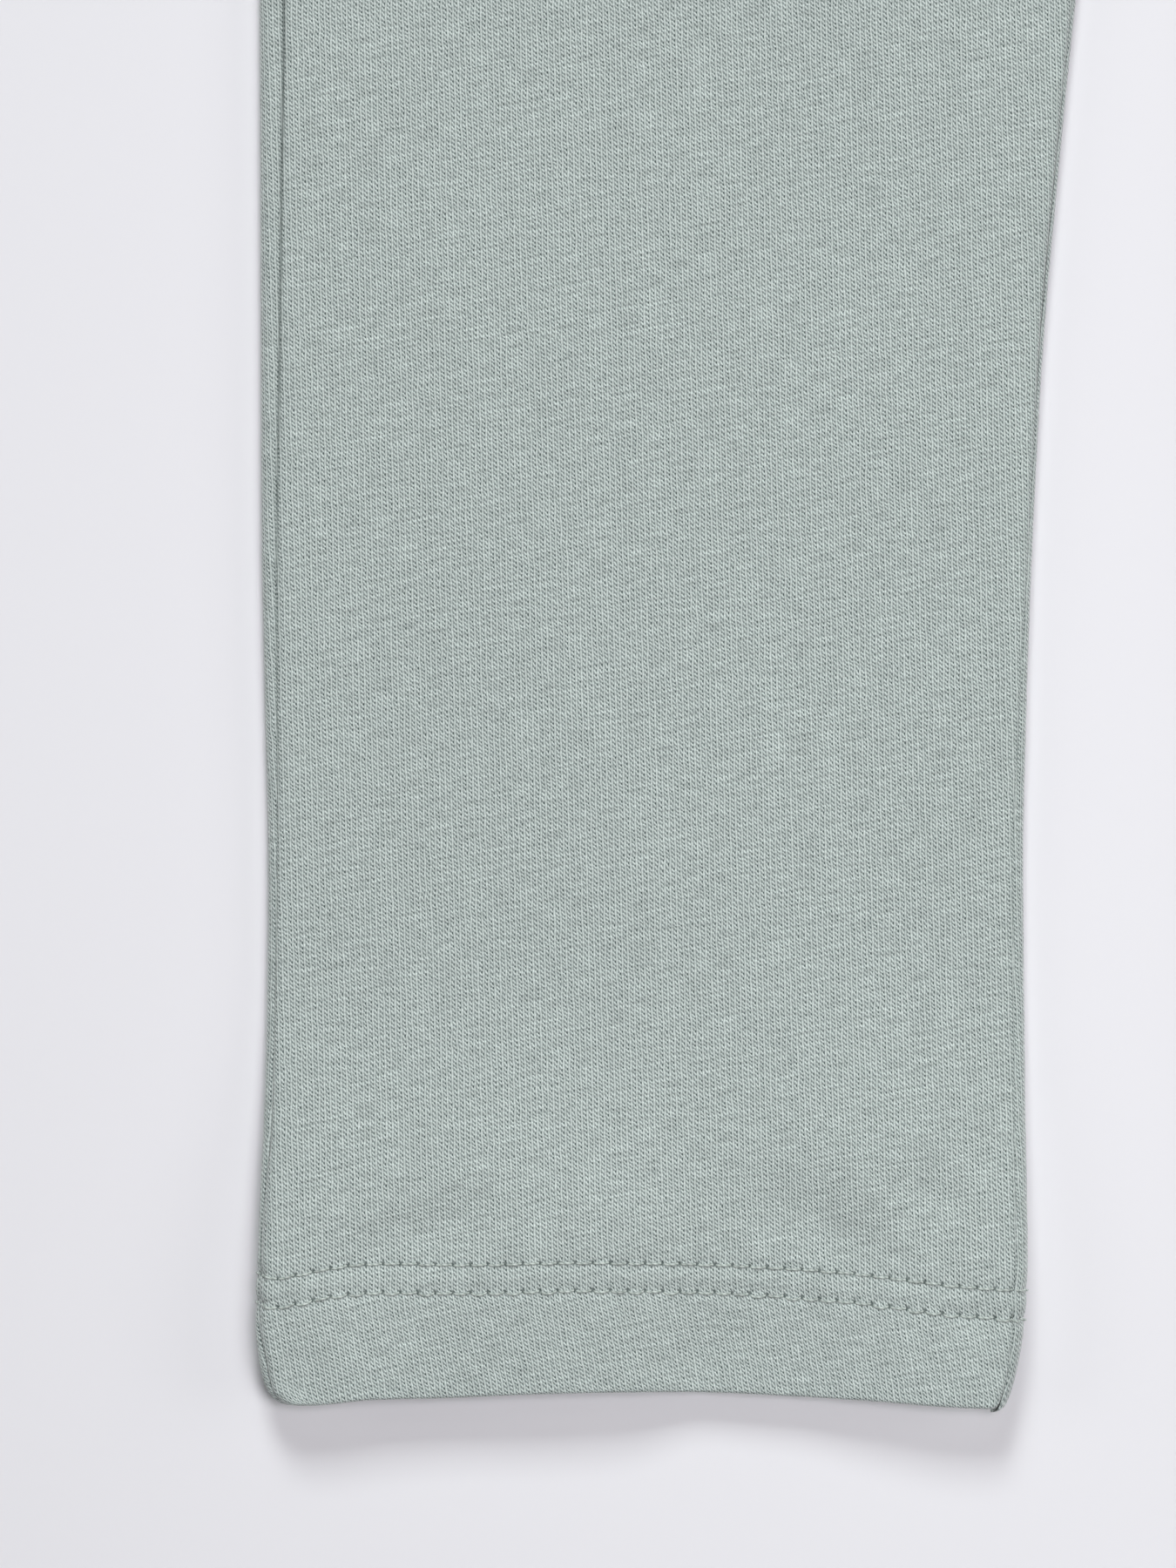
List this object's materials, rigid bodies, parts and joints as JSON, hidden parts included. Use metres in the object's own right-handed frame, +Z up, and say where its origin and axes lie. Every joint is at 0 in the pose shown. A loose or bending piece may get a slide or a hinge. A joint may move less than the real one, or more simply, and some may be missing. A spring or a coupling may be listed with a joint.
{
  "type": "jersey trousers",
  "caption": "Child's plain knitted trousers lying flat, with straight legs, turned-up stitched hems and a gathered elastic waistband.",
  "frame": {"origin": "on the surface that the trousers lie on, below the centre of their bounding box", "axes": "+X towards the wearer's left, +Y towards the waist, +Z up from the surface, out of the front"},
  "size_m": [0.309, 0.5885, 0.0086],
  "materials": {
    "front_right_leg": "plain cotton jersey, matt",
    "front_left_leg": "plain cotton jersey, matt",
    "back_right_leg": "plain cotton jersey, matt",
    "back_left_leg": "plain cotton jersey, matt",
    "waistband": "plain cotton jersey over elastic, matt"
  },
  "bodies": {
    "root": {"front_right_leg": "front_right_leg", "front_left_leg": "front_left_leg", "back_right_leg": "back_right_leg", "back_left_leg": "back_left_leg", "waistband": "waistband"}
  },
  "joints": []
}
